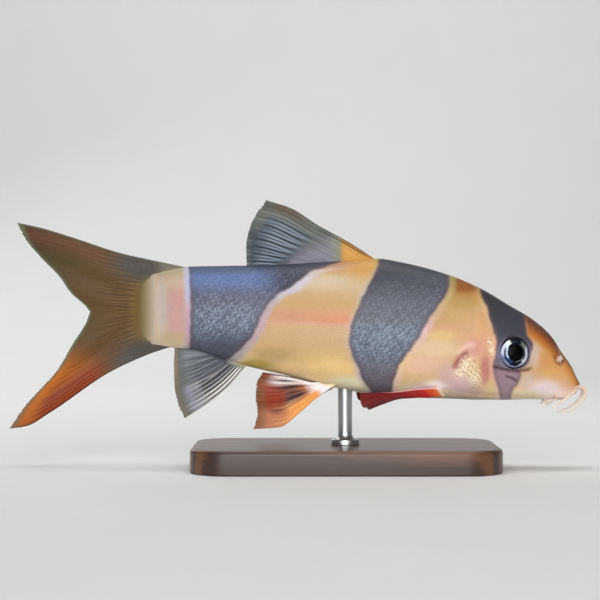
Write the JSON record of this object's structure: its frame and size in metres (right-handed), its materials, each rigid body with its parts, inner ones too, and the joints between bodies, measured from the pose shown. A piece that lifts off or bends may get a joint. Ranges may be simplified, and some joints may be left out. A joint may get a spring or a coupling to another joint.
{
  "type": "clown loach model",
  "caption": "Life-size clown loach, swimming level with fins spread, held on a short rod over a flat rounded base.",
  "frame": {"origin": "middle of the underside of the display base and of the whole model seen from above", "axes": "+X towards the snout, +Y towards the fish's left side, +Z towards its back"},
  "size_m": [0.1212, 0.034, 0.0563],
  "materials": {
    "flesh": "satin",
    "dark_fin": "satin",
    "orange_fin": "satin",
    "red_fin": "satin",
    "eye": "gloss",
    "barbel": "satin",
    "stand_wood": "satin",
    "stand_steel": "brushed"
  },
  "bodies": {
    "root": {"head": "flesh", "trunk": "flesh", "tail_stalk": "flesh", "eye_right": "eye", "eye_left": "eye", "barbel_rostral_inner_right": "barbel", "barbel_rostral_inner_left": "barbel", "barbel_rostral_outer_right": "barbel", "barbel_rostral_outer_left": "barbel", "barbel_maxillary_right": "barbel", "barbel_maxillary_left": "barbel", "barbel_mandibular_right": "barbel", "barbel_mandibular_left": "barbel", "dorsal_fin": "dark_fin", "anal_fin": "dark_fin", "pelvic_fin_right": "orange_fin", "pelvic_fin_left": "orange_fin", "pectoral_fin_right": "red_fin", "pectoral_fin_left": "red_fin", "tail_fin_upper": "orange_fin", "tail_fin_lower": "orange_fin", "stand_base": "stand_wood", "stand_rod": "stand_steel"}
  },
  "joints": []
}
